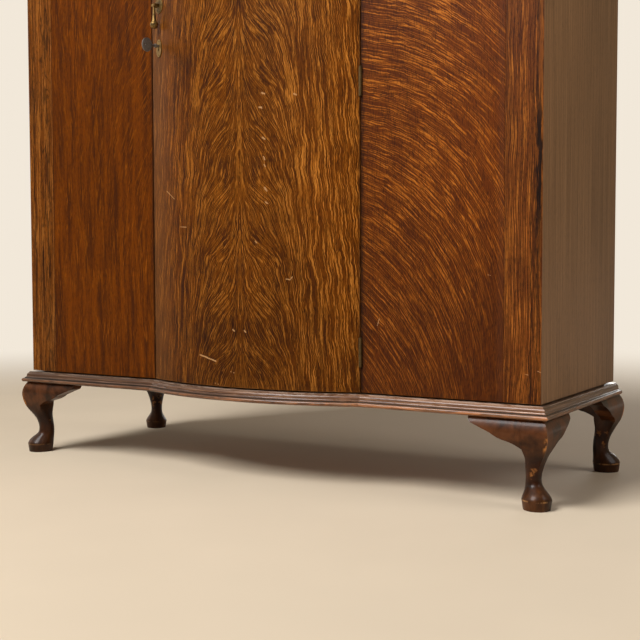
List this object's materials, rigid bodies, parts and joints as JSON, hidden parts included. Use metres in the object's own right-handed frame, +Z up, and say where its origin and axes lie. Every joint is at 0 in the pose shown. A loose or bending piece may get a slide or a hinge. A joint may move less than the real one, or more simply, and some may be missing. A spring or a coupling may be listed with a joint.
{
  "type": "linen press",
  "caption": "Low oak linen press with a bowed figured door between flat wings, moulded base and cornice, cabriole legs with pad feet, and linen shelves inside.",
  "frame": {"origin": "on the floor under the middle of the whole part", "axes": "+Z up, the door faces -Y, +X to the viewer's right when facing the door"},
  "size_m": [1.2, 0.4953, 1.3195],
  "materials": {
    "oak_front": "polished, quartered figure",
    "oak_sides": "worn satin polish",
    "oak_mouldings": "worn satin polish",
    "oak_legs": "dark satin polish, rubbed",
    "oak_inside": "waxed, unstained",
    "aged_brass": "dull, tarnished",
    "dull_steel": "dull"
  },
  "bodies": {
    "carcass": {"back_centre_panel": "oak_inside", "back_left_muntin": "oak_inside", "back_left_panel": "oak_inside", "back_right_muntin": "oak_inside", "back_right_panel": "oak_inside", "base_back_rail": "oak_mouldings", "base_front_moulding": "oak_mouldings", "base_left_moulding": "oak_mouldings", "base_right_moulding": "oak_mouldings", "bottom_board": "oak_inside", "closing_post": "oak_inside", "cornice_back_rail": "oak_mouldings", "cornice_front_moulding": "oak_mouldings", "cornice_left_moulding": "oak_mouldings", "cornice_right_moulding": "oak_mouldings", "door_stop": "oak_inside", "front_left_knee_blocks": "oak_legs", "front_left_leg": "oak_legs", "front_right_knee_blocks": "oak_legs", "front_right_leg": "oak_legs", "hanging_post": "oak_inside", "hinge_frame_leaves": "aged_brass", "hinge_frame_screws": "dull_steel", "hinge_pins": "aged_brass", "left_front_panel": "oak_front", "left_front_stile": "oak_front", "left_shelf_bearers": "oak_inside", "left_side": "oak_sides", "leg_dowels": "oak_inside", "lower_linen_shelf": "oak_inside", "middle_linen_shelf": "oak_inside", "rear_left_knee_blocks": "oak_legs", "rear_left_leg": "oak_legs", "rear_right_knee_blocks": "oak_legs", "rear_right_leg": "oak_legs", "right_front_panel": "oak_front", "right_front_stile": "oak_front", "right_shelf_bearers": "oak_inside", "right_side": "oak_sides", "strike_plate": "dull_steel", "top_board": "oak_inside", "top_panel": "oak_sides", "upper_linen_shelf": "oak_inside"},
    "door": {"door_front_skin": "oak_front", "door_inner_skin": "oak_inside", "door_hinge_stile": "oak_inside", "door_lock_stile": "oak_inside", "door_bottom_rail": "oak_inside", "door_middle_rail": "oak_inside", "door_top_rail": "oak_inside", "hinge_door_leaves": "aged_brass", "hinge_door_screws": "dull_steel", "lock_case": "dull_steel", "keyhole_escutcheon": "aged_brass", "handle_rosette": "aged_brass", "handle_nut": "aged_brass"},
    "bolt": {"lock_bolt": "dull_steel"},
    "key": {"lock_key": "dull_steel"},
    "drop": {"handle_drop": "aged_brass"}
  },
  "joints": [
    {"name": "door_swing", "type": "hinge", "parent": "carcass", "child": "door", "pos_m": [0.238, -0.1792, 0.735], "axis": [0, 0, 1], "range_deg": [0, 135]},
    {"name": "key_turn", "type": "hinge", "parent": "door", "child": "key", "pos_m": [-0.211, -0.18878, 0.8375], "axis": [0.3568, 0.9342, 0], "range_deg": [0, 180]},
    {"name": "bolt_slide", "type": "slide", "parent": "door", "child": "bolt", "axis": [-0.9342, 0.3568, 0], "range_m": [0, 0.01]},
    {"name": "drop_swing", "type": "hinge", "parent": "door", "child": "drop", "pos_m": [-0.21492, -0.19906, 0.9155], "axis": [-0.9342, 0.3568, 0], "range_deg": [0, 80]}
  ],
  "couplings": [
    {"joint": "bolt_slide", "follows": "key_turn", "m_per_rad": 0.0031831}
  ]
}
